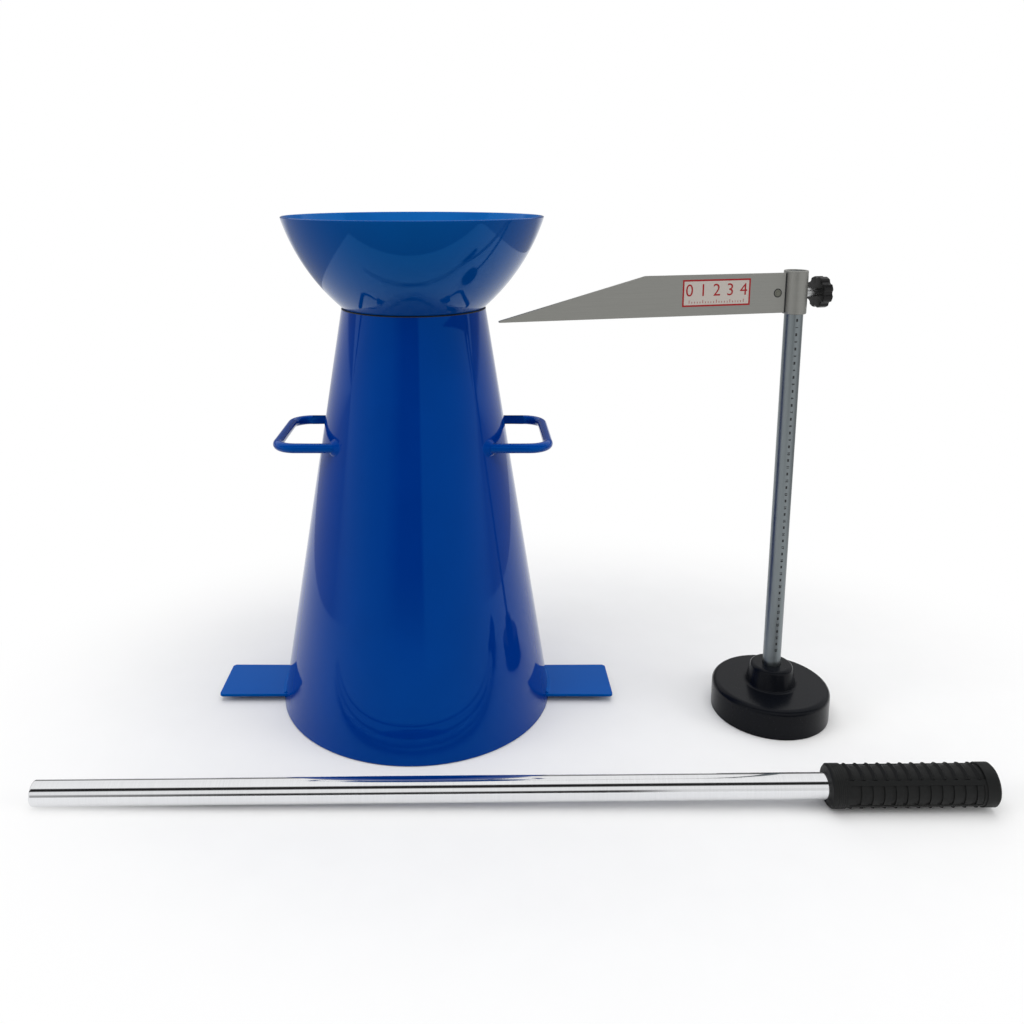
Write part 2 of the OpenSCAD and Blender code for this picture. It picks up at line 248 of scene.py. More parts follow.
# Floor in metres: its box, and where it runs out to white, counted shorter along the set
FLOOR_BOX = (-0.45, -0.3, 0.6, 3)
WHITE_FROM = 0.2
WHITE_BEYOND = 0.36
WHITE_SHIFT = (-0.08, 0.02, 0)
WHITE_SQUEEZE = (0.75, 1, 1)

# Room that gloss shows: angles in degrees, each with a level of light
ROOM_RISE = [  # up from the horizon in front, over the top to the back, and below as negative
    (-180, 0.9), (-172, 0.9), (-164, 0.45), (-60, 0.45), (-20, 0.95), (-10, 0.95), (12, 0.85), (20, 0.9),
    (41, 0.92), (47, 0.02), (66, 0.02), (72, 1.0), (135, 0.95), (152, 1.0), (159, 0.2), (178, 0.25),
    (180, 0.9)]
DOOR_TURN = [(-55, 1.0), (-30, 0.7), (-13, 0.05), (9, 0.05), (11, 0.9), (60, 1.0)]

# Heights in the room, from -1 below to 1 above, between which the doorway begins at its top and foot
DOOR_TOP = (0.3, 0.2)
DOOR_FOOT = (-0.19, -0.08)

# Light of the studio
WHITE = (1, 1, 1, 1)
AMBIENT = (0.52, 0.52, 0.52, 1)

# Camera in metres, degrees, millimetres of focal length and parts of the picture
CAMERA_PLACE = (0.04, -0.667, 0.388)
CAMERA_DOWN = 10.42
CAMERA_LENS = 32.6
CAMERA_SHIFT = (0.042, -0.155)

# Frames that pieces are made in
AT_POST = Matrix.Translation((POST_X, POST_Y, 0))
AT_ARM = AT_POST @ Matrix.Rotation(ARM_TURN, 4, "Z")
AT_CLAMP = AT_ARM @ Matrix.Translation((0, 0, CLAMP_Z)) @ Matrix.Rotation(math.pi / 2, 4, "Y")
AT_RIVET = AT_ARM @ Matrix.Translation((RIVET_X, 0, RIVET_Z)) @ Matrix.Rotation(math.pi / 2, 4, "X")
AT_BLADE = AT_ARM @ Matrix.Translation((0, 0, CONE_H)) @ Matrix.Rotation(math.pi / 2, 4, "X")
AT_ROD = Matrix.Translation(ROD_TIP) @ Matrix.Rotation(math.pi / 2 - ROD_TILT, 4, "Y")
AT_GRIP = AT_ROD @ Matrix.Translation((0, 0, GRIP_START))


def linear(code):
    """Linear colour with alpha from an sRGB hex code."""
    parts = [int(code[i:i + 2], 16) / 255 for i in (1, 3, 5)]
    return [p / 12.92 if p <= 0.04045 else ((p + 0.055) / 1.055) ** 2.4 for p in parts] + [1]


def node(tree, kind, inputs=None, **settings):
    """Add a node, set its properties, and set or link its inputs by name or place."""
    made = tree.nodes.new(kind)
    for name, value in settings.items():
        setattr(made, name, value)
    for key, value in (inputs or {}).items():
        if isinstance(value, bpy.types.NodeSocket):
            tree.links.new(value, made.inputs[key])
        else:
            made.inputs[key].default_value = value
    return made


def noise(tree, place, size, detail):
    """Noise from 0 to 1, with features of a size in millimetres."""
    made = node(tree, "ShaderNodeTexNoise", {"Vector": place, "Scale": 1000 / size, "Detail": detail})
    return made.outputs[0]


def stretched(tree, place, scale):
    """Coordinates in which a pattern is drawn out along the axes whose scale is small."""
    return node(tree, "ShaderNodeMapping", {"Vector": place, "Scale": scale}).outputs[0]


def new_material(name, colour, **sockets):
    """Principled material in one colour: itself, its tree, its shader and its object coordinates."""
    made = bpy.data.materials.new(name)
    made.use_nodes = True
    made.diffuse_color = linear(colour)
    tree = made.node_tree
    tree.nodes.clear()
    shader = node(tree, "ShaderNodeBsdfPrincipled", {"Base Color": linear(colour)})
    for key, value in sockets.items():
        shader.inputs[key.replace("_", " ")].default_value = value
    node(tree, "ShaderNodeOutputMaterial", {"Surface": shader.outputs[0]})
    return made, tree, shader, node(tree, "ShaderNodeTexCoord").outputs["Object"]


def vary_colour(tree, shader, factor, low, high):
    """Run the base colour from one hex code to another as factor goes from 0 to 1."""
    mix = node(tree, "ShaderNodeMix", {0: factor, 6: linear(low), 7: linear(high)}, data_type="RGBA")
    tree.links.new(mix.outputs[2], shader.inputs["Base Color"])


def vary_roughness(tree, shader, factor, low, high):
    """Run the roughness from low to high as factor goes from 0.3 to 0.7."""
    mapped = node(tree, "ShaderNodeMapRange", {0: factor, 1: 0.3, 2: 0.7, 3: low, 4: high})
    tree.links.new(mapped.outputs[0], shader.inputs["Roughness"])


def add_bump(tree, shader, height, depth, strength):
    """Bump of a depth in millimetres."""
    bump = node(tree, "ShaderNodeBump", {"Height": height, "Distance": depth / 1000, "Strength": strength})
    tree.links.new(bump.outputs[0], shader.inputs["Normal"])


def blue_enamel(name, low, high, gloss=0.7):
    """Stoved gloss enamel on sheet steel, with slight orange peel and uneven depth of colour."""
    made, tree, shader, place = new_material(
        name, low, Specular_IOR_Level=gloss, Specular_Tint=linear("#30B0FF"))
    cloud = noise(tree, place, 45, 3)
    vary_colour(tree, shader, cloud, low, high)
    vary_roughness(tree, shader, cloud, 0.035, 0.06)
    peel = noise(tree, place, 2.6, 1)
    add_bump(tree, shader, peel, 0.01, 0.12)
    return made


def black_casting_paint():
    """Half-gloss black paint over a sand casting, whose grain shows through; drawn coarser, to show."""
    made, tree, shader, place = new_material(
        "black_casting_paint", "#0C0E13", Specular_IOR_Level=0.12)
    grain = noise(tree, place, 1.1, 4)
    vary_colour(tree, shader, grain, "#0B0D12", "#101217")
    vary_roughness(tree, shader, grain, 0.2, 0.28)
    add_bump(tree, shader, grain, 0.02, 0.3)
    return made


def drawn_steel():
    """Drawn steel tube: a dull sheen with die lines along its length, drawn coarser than real, to show."""
    made, tree, shader, place = new_material("drawn_steel", "#7F8689", Metallic=1)
    long = stretched(tree, place, (1, 1, 0.01))
    lines = noise(tree, long, 0.35, 3)
    vary_colour(tree, shader, lines, "#767D80", "#888F92")
    vary_roughness(tree, shader, lines, 0.3, 0.42)
    add_bump(tree, shader, lines, 0.006, 0.5)
    return made


def satin_steel():
    """Rolled sheet steel, rubbed to a satin along the blade: the scratches are drawn coarser, to show."""
    made, tree, shader, place = new_material("satin_steel", "#8E8E8A", Metallic=0.6)
    long = stretched(tree, place, (0.02, 0.02, 1))
    lines = noise(tree, long, 0.5, 4)
    vary_colour(tree, shader, lines, "#868682", "#969691")
    vary_roughness(tree, shader, lines, 0.34, 0.46)
    add_bump(tree, shader, lines, 0.006, 0.6)
    return made


def zinc_plate():
    """Bright zinc plating, a little cloudy."""
    made, tree, shader, place = new_material("zinc_plate", "#B9BABA", Metallic=1)
    cloud = noise(tree, place, 1.5, 3)
    vary_colour(tree, shader, cloud, "#A9ABAC", "#C6C7C6")
    vary_roughness(tree, shader, cloud, 0.2, 0.34)
    add_bump(tree, shader, cloud, 0.01, 0.3)
    return made


def moulded_plastic():
    """Black moulded plastic with a fine spark-eroded grain, drawn coarser than real, to show."""
    made, tree, shader, place = new_material("moulded_plastic", "#080809", Specular_IOR_Level=0.3)
    grain = noise(tree, place, 0.4, 2)
    vary_colour(tree, shader, grain, "#060607", "#0B0B0C")
    vary_roughness(tree, shader, grain, 0.28, 0.4)
    add_bump(tree, shader, grain, 0.01, 0.4)
    return made


def chrome_plate():
    """Bright chrome on a ground bar: faint rings from the grinding, drawn coarser than real, to show."""
    made, tree, shader, place = new_material("chrome_plate", "#E6E7E9", Metallic=1)
    rings = stretched(tree, place, (1, 0.02, 0.02))
    lines = noise(tree, rings, 0.6, 2)
    vary_colour(tree, shader, lines, "#DFE0E2", "#ECEDEF")
    vary_roughness(tree, shader, lines, 0.06, 0.1)
    add_bump(tree, shader, lines, 0.001, 0.15)
    return made


def grip_rubber():
    """Moulded rubber with a dull skin and a dusting on it; its pores are drawn coarser, to show."""
    made, tree, shader, place = new_material("grip_rubber", "#111212", Specular_IOR_Level=0.25)
    dust = noise(tree, place, 3, 4)
    vary_colour(tree, shader, dust, "#0D0E0E", "#161717")
    vary_roughness(tree, shader, dust, 0.5, 0.66)
    pores = noise(tree, place, 0.3, 2)
    add_bump(tree, shader, pores, 0.02, 0.5)
    return made


def print_ink(name, low, high):
    """Screen-printed ink, thinner in places, on a screen drawn coarser than real, to show."""
    made, tree, shader, place = new_material(name, high, Specular_IOR_Level=0.4)
    screen = noise(tree, place, 0.6, 2)
    vary_colour(tree, shader, screen, low, high)
    vary_roughness(tree, shader, screen, 0.35, 0.5)
    return made


def dull_steel():
    """Bare rivet steel, dulled by handling."""
    made, tree, shader, place = new_material("dull_steel", "#6E6F66", Metallic=0.6)
    cloud = noise(tree, place, 0.8, 3)
    vary_colour(tree, shader, cloud, "#63645B", "#797A70")
    vary_roughness(tree, shader, cloud, 0.4, 0.55)
    add_bump(tree, shader, cloud, 0.01, 0.3)
    return made


ENAMEL = blue_enamel("blue_enamel", "#003088", "#003895", gloss=0.5)
# Lighter copy of the cone's enamel for the handles: painted light, as they catch more light from above
HANDLE_ENAMEL_PAINTED_LIGHT = blue_enamel("blue_enamel_handle_painted_light", "#003B92", "#00439E", gloss=0.5)
WELD_ENAMEL = blue_enamel("blue_enamel_weld", "#00378E", "#003F9A", gloss=0.15)
FUNNEL_ENAMEL = blue_enamel("blue_enamel_funnel", "#003F88", "#004796")
# Lighter copy of the funnel's enamel for the bowl's inside: painted light from overhead
FUNNEL_INSIDE_PAINTED_LIGHT = blue_enamel("blue_enamel_inside_painted_light", "#0E62AE", "#1A6CBA", gloss=0.3)
# Lighter copy of the cone's enamel for the foot plates and their fillets, with little gloss: painted light
# from above
PLATE_ENAMEL_PAINTED_LIGHT = blue_enamel("blue_enamel_plate_painted_light", "#004EA2", "#0056AE", gloss=0.06)
CASTING, TUBE = black_casting_paint(), drawn_steel()
SATIN, ZINC, PLASTIC = satin_steel(), zinc_plate(), moulded_plastic()
CHROME, RUBBER, DULL = chrome_plate(), grip_rubber(), dull_steel()
# Dark ink for the scale's print, also used for the rings and strip of painted shade at the joints and the
# rivet
INK_AND_SHADE = print_ink("scale_ink_and_painted_shade", "#15171A", "#202226")
LABEL_GROUND = print_ink("label_ground", "#C2BAB2", "#CCC5BE")
LABEL_RED = print_ink("label_red", "#94070F", "#A60B14")


def spread(start, end, steps):
    """Even values from start to end, in a number of steps."""
    return [start + (end - start) * k / steps for k in range(steps + 1)]


def full_turn(count):
    """Even angles round a full turn."""
    return [2 * math.pi * k / count for k in range(count)]


def rounded(corners, steps=5):
    """Closed outline through corners (x, y, radius), each turned by an arc of its radius."""
    points = []
    for i, (x, y, radius) in enumerate(corners):
        here = Vector((x, y))
        if radius == 0:
            points.append(here)
            continue
        back = (Vector(corners[i - 1][:2]) - here).normalized()
        on = (Vector(corners[(i + 1) % len(corners)][:2]) - here).normalized()
        half = back.angle(on) / 2
        centre = here + (back + on).normalized() * radius / math.sin(half)
        first = here + back * radius / math.tan(half) - centre
        last = here + on * radius / math.tan(half) - centre
        start = math.atan2(first.y, first.x)
        sweep = (math.atan2(last.y, last.x) - start + math.pi) % (2 * math.pi) - math.pi
        for s in range(steps + 1):
            t = start + sweep * s / steps
            points.append(centre + radius * Vector((math.cos(t), math.sin(t))))
    return points


def spin(bm, section, place=Matrix(), segments=128, shape=None):
    """Turn a half section (radius, height) round the Z axis of place; shape scales its radius by angle."""
    turns = full_turn(segments)
    rings = []
    for r, z in section:
        ring = []
        for t in turns if r > 1e-6 else turns[:1]:
            part = shape(t) if shape else 1
            ring.append(bm.verts.new(place @ Vector((r * math.cos(t) * part, r * math.sin(t) * part, z))))
        rings.append(ring)
    for low, high in zip(rings, rings[1:] + rings[:1]):
        for k in range(segments if max(len(low), len(high)) > 1 else 0):
            n = (k + 1) % segments
            corners = [low[k % len(low)], low[n % len(low)], high[n % len(high)], high[k % len(high)]]
            bm.faces.new(list(dict.fromkeys(corners)))


def extrude(bm, outline, low, high, place=Matrix(), edge=0.0):
    """Plate with a closed outline (x, y), from low to high along the Z axis of place, its edges rounded."""
    sides = [[bm.verts.new(place @ Vector((x, y, z))) for x, y in outline] for z in (low, high)]
    count = len(outline)
    rims = [bm.faces.new(sides[0][::-1]), bm.faces.new(sides[1])]
    for k in range(count):
        n = (k + 1) % count
        bm.faces.new((sides[0][k], sides[0][n], sides[1][n], sides[1][k]))
    if edge:
        bmesh.ops.bevel(bm, geom=[e for f in rims for e in f.edges], offset=edge, segments=3,
                        profile=0.5, affect="EDGES", clamp_overlap=True)


def skin(bm, rows, closed=False):
    """Faces between rows of points, each row joined to the next, and back to its own start if closed."""
    made = [[bm.verts.new(point) for point in row] for row in rows]
    count = len(rows[0])
    for low, high in zip(made, made[1:]):
        for k in range(count if closed else count - 1):
            n = (k + 1) % count
            bm.faces.new((low[k], low[n], high[n], high[k]))
    return made


def rectangle(left, low, right, high):
    """Corners of a rectangle, in order."""
    return [(left, low), (right, low), (right, high), (left, high)]


def add_piece(name, mesh, body, slot, *nodes):
    """Object that rides on a body and stands for CAD nodes, which it hides; slot is not used."""
    piece = bpy.data.objects.new(name, mesh)
    scene.collection.objects.link(piece)
    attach(piece, body)
    if nodes:
        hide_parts(*nodes)
    return piece


def finish_piece(name, bm, material, body, slot, *nodes, sharp=40):
    """Turn mesh work in millimetres into a piece in metres, smooth but for its sharp edges."""
    bmesh.ops.remove_doubles(bm, verts=bm.verts, dist=JOIN_WITHIN)
    bmesh.ops.recalc_face_normals(bm, faces=bm.faces)
    bmesh.ops.scale(bm, vec=(0.001, 0.001, 0.001), verts=bm.verts)
    mesh = bpy.data.meshes.new(name)
    bm.to_mesh(mesh)
    bm.free()
    mesh.materials.append(material)
    mesh.shade_smooth()
    mesh.set_sharp_from_angle(angle=math.radians(sharp))
    piece = add_piece(name, mesh, body, slot, *nodes)
    weighted = piece.modifiers.new("weighted_normals", "WEIGHTED_NORMAL")
    weighted.keep_sharp = True
    return piece


def run_tree(mesh, tree, values):
    """Mesh that a geometry tree makes of a mesh, with named input values."""
    source = bpy.data.objects.new(tree.name + "_source", mesh)
    scene.collection.objects.link(source)
    modifier = source.modifiers.new(tree.name, "NODES")
    modifier.node_group = tree
    for item in tree.interface.items_tree:
        if item.in_out == "INPUT" and item.name in values:
            modifier[item.identifier] = values[item.name]
    source.update_tag()
    made = bpy.data.meshes.new_from_object(source.evaluated_get(bpy.context.evaluated_depsgraph_get()))
    source.modifiers.remove(modifier)
    bpy.data.objects.remove(source)
    return made


def cone_r(z):
    """Outside radius of the cone at a height."""
    return CONE_FOOT_R + (CONE_MOUTH_R - CONE_FOOT_R) * z / CONE_H


def on_cone(y, z, sunk=0.0):
    """Distance from the YZ plane to the cone's outer face at a place, or to a depth under it."""
    return math.sqrt((cone_r(z) - sunk) ** 2 - y * y)


def build_cone():
    """Rolled cone with dressed lips, and a dark ring of painted shade in the groove between its mouth and
    the funnel.
    """
    bm = bmesh.new()
    spin(bm, rounded([(CONE_FOOT_R - CONE_ACROSS, 0, CONE_LIP), (CONE_FOOT_R, 0, CONE_LIP),
                      (CONE_MOUTH_R, CONE_H, CONE_LIP), (CONE_MOUTH_R - CONE_ACROSS, CONE_H, CONE_LIP)]),
         segments=256)
    finish_piece("cone_shell_sheet", bm, ENAMEL, "mould", "blue_paint", "cone_shell")
    # Painted shade: a dark ring over the lip's arc, where the joint with the funnel falls in shadow
    bm = bmesh.new()
    centre = Vector((CONE_MOUTH_R - LIP_CENTRE * CONE_LIP, CONE_H - CONE_LIP))
    turns = [math.radians(a) for a in range(10, 86, 15)]
    inner, outer = CONE_LIP - MOUTH_SHADE_SUNK, CONE_LIP + FILM
    ring = [centre + inner * Vector((math.cos(t), math.sin(t))) for t in turns]
    ring += [centre + outer * Vector((math.cos(t), math.sin(t))) for t in reversed(turns)]
    spin(bm, ring, segments=256)
    finish_piece("mouth_edge_painted_shade", bm, INK_AND_SHADE, "mould", "blue_paint")


def build_handle(name, side):
    """Round bar bent to a U, its ends coped to the cone, in place of the CAD node of that name."""
    corner = (HANDLE_X - HANDLE_BEND, LEG_Y - HANDLE_BEND)
    path = [(0.0, -LEG_Y, 0.0)]
    for start, sign in ((-90, -1), (0, 1)):
        for t in spread(math.radians(start), math.radians(start + 90), 12):
            path.append((corner[0] + HANDLE_BEND * math.cos(t),
                         sign * corner[1] + HANDLE_BEND * math.sin(t), t))
    path.append((0.0, LEG_Y, math.pi / 2))
    rows = []
    for x, y, t in path:
        row = []
        for a in full_turn(32):
            out, up = BAR_R * math.cos(a), BAR_R * math.sin(a)
            if x == 0.0:
                leg_y = y + math.copysign(out, y)
                row.append((side * on_cone(leg_y, HANDLE_Z + up, LEG_SUNK), leg_y, HANDLE_Z + up))
            else:
                row.append((side * (x + out * math.cos(t)), y + out * math.sin(t), HANDLE_Z + up))
        rows.append(row)
    bm = bmesh.new()
    made = skin(bm, rows, closed=True)
    bm.faces.new(made[0])
    bm.faces.new(made[-1])
    finish_piece(name + "_bar", bm, HANDLE_ENAMEL_PAINTED_LIGHT, "mould", "blue_paint", name)


def build_foot_plate(name, side):
    """Flat plate cut to the cone, its corners and edges rounded, in place of the CAD node of that name."""
    half = FOOT_W / 2
    root = [(on_cone(y, FOOT_LOW, FOOT_SUNK), y, 0) for y in spread(half, -half, 12)]
    outline = rounded(root + [(FOOT_REACH, -half, FOOT_CORNER), (FOOT_REACH, half, FOOT_CORNER)], steps=8)
    bm = bmesh.new()
    extrude(bm, [(side * p.x, p.y) for p in outline][::side], FOOT_LOW, FOOT_TOP, edge=FOOT_EDGE)
    finish_piece(name + "_sheet", bm, PLATE_ENAMEL_PAINTED_LIGHT, "mould", "blue_paint", name)


def ripple_tree():
    """Overlapping lens-shaped ripples strung along the edges of a mesh, as a hand weld leaves them."""
    tree = bpy.data.node_groups.new("weld_ripples", "GeometryNodeTree")
    for name, kind in (("Path", "Geometry"), ("Radius", "Float"), ("Pitch", "Float"), ("Flatness", "Float"),
                       ("Uneven", "Float"), ("Paint", "Material")):
        tree.interface.new_socket(name, in_out="INPUT", socket_type="NodeSocket" + kind)
    tree.interface.new_socket("Weld", in_out="OUTPUT", socket_type="NodeSocketGeometry")
    given = node(tree, "NodeGroupInput").outputs
    curve = node(tree, "GeometryNodeMeshToCurve", {"Mesh": given["Path"]})
    spaced = node(tree, "GeometryNodeResampleCurve",
                  {"Curve": curve.outputs[0], "Length": given["Pitch"]}, mode="LENGTH")
    along = node(tree, "GeometryNodeInputTangent")
    turn = node(tree, "FunctionNodeAlignRotationToVector", {"Vector": along.outputs[0]}, axis="Z")
    ball = node(tree, "GeometryNodeMeshUVSphere", {"Segments": 16, "Rings": 8, "Radius": given["Radius"]})
    size = node(tree, "ShaderNodeCombineXYZ", {"X": 1, "Y": 1, "Z": given["Flatness"]})
    lens = node(tree, "GeometryNodeTransform", {"Geometry": ball.outputs[0], "Scale": size.outputs[0]})
    least = node(tree, "ShaderNodeMath", {0: 1, 1: given["Uneven"]}, operation="SUBTRACT")
    most = node(tree, "ShaderNodeMath", {0: 1, 1: given["Uneven"]}, operation="ADD")
    uneven = node(tree, "FunctionNodeRandomValue",
                  {2: least.outputs[0], 3: most.outputs[0], "Seed": BEAD_SEED})
    strung = node(tree, "GeometryNodeInstanceOnPoints",
                  {"Points": spaced.outputs[0], "Instance": lens.outputs[0], "Rotation": turn.outputs[0],
                   "Scale": uneven.outputs[1]})
    whole = node(tree, "GeometryNodeRealizeInstances", {"Geometry": strung.outputs[0]})
    smooth = node(tree, "GeometryNodeSetShadeSmooth", {"Geometry": whole.outputs[0]})
    painted = node(tree, "GeometryNodeSetMaterial",
                   {"Geometry": smooth.outputs[0], "Material": given["Paint"]})
    node(tree, "NodeGroupOutput", {"Weld": painted.outputs[0]})
    return tree


RIPPLES = ripple_tree()


def build_weld(name, path, radius, body, replaced):
    """Weld bead along a path in millimetres; a closed path repeats its first point."""
    mesh = bpy.data.meshes.new(name)
    edges = [(k, k + 1) for k in range(len(path) - 1)]
    mesh.from_pydata([Vector(point) / 1000 for point in path], edges, [])
    values = {"Radius": radius / 1000, "Pitch": BEAD_PITCH / 1000, "Flatness": BEAD_FLATNESS,
              "Uneven": BEAD_UNEVEN, "Paint": ENAMEL}
    add_piece(name, run_tree(mesh, RIPPLES, values), body, "blue_paint", replaced)


def build_welds():
    """Rippled beads along the seam and inside the funnel."""
    seam = [(0, cone_r(z) - SEAM_SUNK, z) for z in (SEAM_END, CONE_H - SEAM_END)]
    build_weld("seam_bead", seam, SEAM_BEAD, "mould", "seam_weld")
    turns = spread(0, 2 * math.pi, 96)
    ring = [(NECK_R * math.cos(t), NECK_R * math.sin(t), NECK_Z) for t in turns]
    build_weld("funnel_neck_bead", ring, NECK_BEAD, "funnel", "funnel_weld")


def fillet(leg):
    """Hollow fillet profile from one face to the other: pairs of distances from the two faces."""
    turns = spread(0, math.pi / 2, 8)
    return [(leg * (1 - math.cos(t)), leg * (1 - math.sin(t))) for t in turns]


def build_handle_roots():
    """Smooth fillet welds where the handles' legs meet the cone, filled over with enamel."""
    section = [(-FILLET_SUNK, ROOT_FILLET)] + fillet(ROOT_FILLET) + [(ROOT_FILLET, -FILLET_SUNK)]
    turns = full_turn(48)
    bm = bmesh.new()
    for side in (-1, 1):
        for leg in (-LEG_Y, LEG_Y):
            rows = []
            for off, out in section:
                row = []
                for t in turns:
                    r = BAR_R + out * (1 + ROOT_WAVE * math.sin(ROOT_WAVES * t))
                    y, z = leg + r * math.cos(t), HANDLE_Z + r * math.sin(t)
                    row.append((side * (on_cone(y, z) + off), y, z))
                rows.append(row)
            skin(bm, rows + rows[:1], closed=True)
    finish_piece("handle_root_fillets", bm, WELD_ENAMEL, "mould", "blue_paint", "handle_welds")


def build_foot_fillets():
    """Smooth fillet welds over and under the foot plates, filled over with enamel."""
    section = [(-FILLET_SUNK, FOOT_FILLET)] + fillet(FOOT_FILLET)
    section += [(FOOT_FILLET, -FOOT_BITE), (-FILLET_SUNK, -FOOT_BITE)]
    across = spread(-FOOT_FILLET_HALF, FOOT_FILLET_HALF, 20)
    bm = bmesh.new()
    for side in (-1, 1):
        for level, rise in ((FOOT_TOP, 1), (FOOT_LOW, -1)):
            rows = []
            for off, up in section:
                z = level + rise * up
                rows.append([(side * (on_cone(y, z) + off), y, z) for y in across])
            made = skin(bm, rows + rows[:1])
            bm.faces.new([row[0] for row in made[:-1]])
            bm.faces.new([row[-1] for row in made[:-1]])
    finish_piece("foot_plate_fillets", bm, PLATE_ENAMEL_PAINTED_LIGHT, "mould", "blue_paint", "foot_plate_welds")


def bowl_r(z, inset=0.0):
    """Radius of the bowl's side at a height, inset from its outer face."""
    return BOWL_CENTRE.x + math.sqrt((BOWL_ARC - inset) ** 2 - (z - BOWL_CENTRE.y) ** 2)


def build_funnel():
    """Spun bowl with a rounded lip, and the ring that centres it in the cone's mouth."""
    half = BOWL_WALL / 2
    lip_z = FUNNEL_TOP - half
    levels = spread(CONE_H, lip_z, 32)
    foot = []
    for k in (0, 0.4, 0.7, 0.9, 1):
        r = bowl_r(CONE_H + BOWL_FOOT_EDGE * k) - BOWL_FOOT_EDGE * (1 - k)
        foot.append((r, CONE_H + BOWL_FOOT_EDGE * (1 - math.sqrt(1 - k * k))))
    outside = [(bowl_r(z), z) for z in levels[1:]]
    middle = bowl_r(lip_z, half)
    turns = [math.radians(a) for a in range(15, 180, 15)]
    lip = [(middle + half * math.cos(t), lip_z + half * math.sin(t)) for t in turns]
    inside = [(bowl_r(z, BOWL_WALL), z) for z in reversed(levels)]
    bm = bmesh.new()
    spin(bm, foot + outside + lip + inside, segments=256)
    bowl = finish_piece("funnel_bowl_spun", bm, FUNNEL_ENAMEL, "funnel", "blue_paint", "funnel_bowl").data
    # The bowl's inner faces take the lighter copy of its enamel, painted light
    bowl.materials.append(FUNNEL_INSIDE_PAINTED_LIGHT)
    for face in bowl.polygons:
        face.material_index = int(face.center.xy.length * 1000 < bowl_r(face.center.z * 1000, half))
    inner = SPIGOT_R - SPIGOT_WALL
    corners = rectangle(inner, SPIGOT_LOW, SPIGOT_R, SPIGOT_TOP)
    bm = bmesh.new()
    spin(bm, rounded([(r, z, SPIGOT_EDGE) for r, z in corners]), segments=192)
    finish_piece("funnel_spigot_ring", bm, FUNNEL_ENAMEL, "funnel", "blue_paint", "funnel_spigot")


def build_stand():
    """Cast base with its boss and the post tube."""
    bore, inner = POST_R + BOSS_GAP, POST_R - POST_WALL
    bm = bmesh.new()
    spin(bm, rounded([(RECESS_R, 0, RECESS_EDGE), (BASE_R, 0, BASE_FOOT_EDGE), (BASE_R, BASE_H, BASE_EDGE),
                      (BOSS_R, BASE_H, BOSS_ROOT), (BOSS_TOP_R, BOSS_TOP, BOSS_EDGE),
                      (bore, BOSS_TOP, BORE_EDGE), (bore, POST_LOW, 0), (SCREW_HOLE_R, POST_LOW, 0),
                      (SCREW_HOLE_R, RECESS_H, 0), (RECESS_R, RECESS_H, BORE_EDGE)], steps=8),
         AT_POST, segments=192)
    finish_piece("gauge_base_casting", bm, CASTING, "gauge_stand", "black_casting", "gauge_base")
    bm = bmesh.new()
    spin(bm, rounded([(inner, POST_LOW, POST_FOOT_EDGE), (POST_R, POST_LOW, POST_FOOT_EDGE),
                      (POST_R, POST_TOP, POST_TOP_EDGE), (inner, POST_TOP, POST_MOUTH_EDGE)]),
         AT_POST, segments=96)
    finish_piece("post_tube_drawn", bm, TUBE, "gauge_stand", "post_steel", "post_tube")


def build_arm():
    """Collar with its lug, the blade with its sloping end, their rivet, and a dark strip of painted shade in
    the joint.
    """
    bm = bmesh.new()
    spin(bm, rounded([(COLLAR_BORE, COLLAR_LOW, SHEET_EDGE), (COLLAR_R, COLLAR_LOW, COLLAR_EDGE),
                      (COLLAR_R, COLLAR_TOP, COLLAR_EDGE), (COLLAR_BORE, COLLAR_TOP, SHEET_EDGE)]),
         AT_ARM, segments=96)
    extrude(bm, rounded([(-LUG_ROOT, LUG_LOW, 0), (-LUG_ROOT, LUG_TOP, 0), (-LUG_REACH, LUG_TOP, LUG_CORNER),
                         (-LUG_REACH, LUG_LOW, LUG_CORNER)]), -LUG_T, 0, AT_BLADE, edge=SHEET_EDGE)
    finish_piece("slide_collar_turned", bm, SATIN, "gauge_arm", "satin_steel", "slide_collar")
    slope = -BLADE_REACH + BLADE_SLOPE
    bm = bmesh.new()
    extrude(bm, rounded([(-BLADE_ROOT, 0, 0), (-BLADE_ROOT, BLADE_H, 0), (slope, BLADE_H, BLADE_BEND),
                         (-BLADE_REACH, BLADE_TIP, SHEET_EDGE), (-BLADE_REACH, 0, SHEET_EDGE)]),
            LUG_GAP, BLADE_T, AT_BLADE, edge=SHEET_EDGE)
    finish_piece("gauge_blade_sheet", bm, SATIN, "gauge_arm", "satin_steel", "gauge_blade")
    build_rivet()
    # Painted shade: a dark strip on the blade where it meets the collar
    bm = bmesh.new()
    extrude(bm, rectangle(-JOINT_SHADE_TO, SHEET_EDGE, -JOINT_SHADE_FROM, BLADE_H - SHEET_EDGE),
            BLADE_T - FILM_SUNK, BLADE_T + FILM, AT_BLADE)
    finish_piece("collar_joint_painted_shade", bm, INK_AND_SHADE, "gauge_arm", "satin_steel")


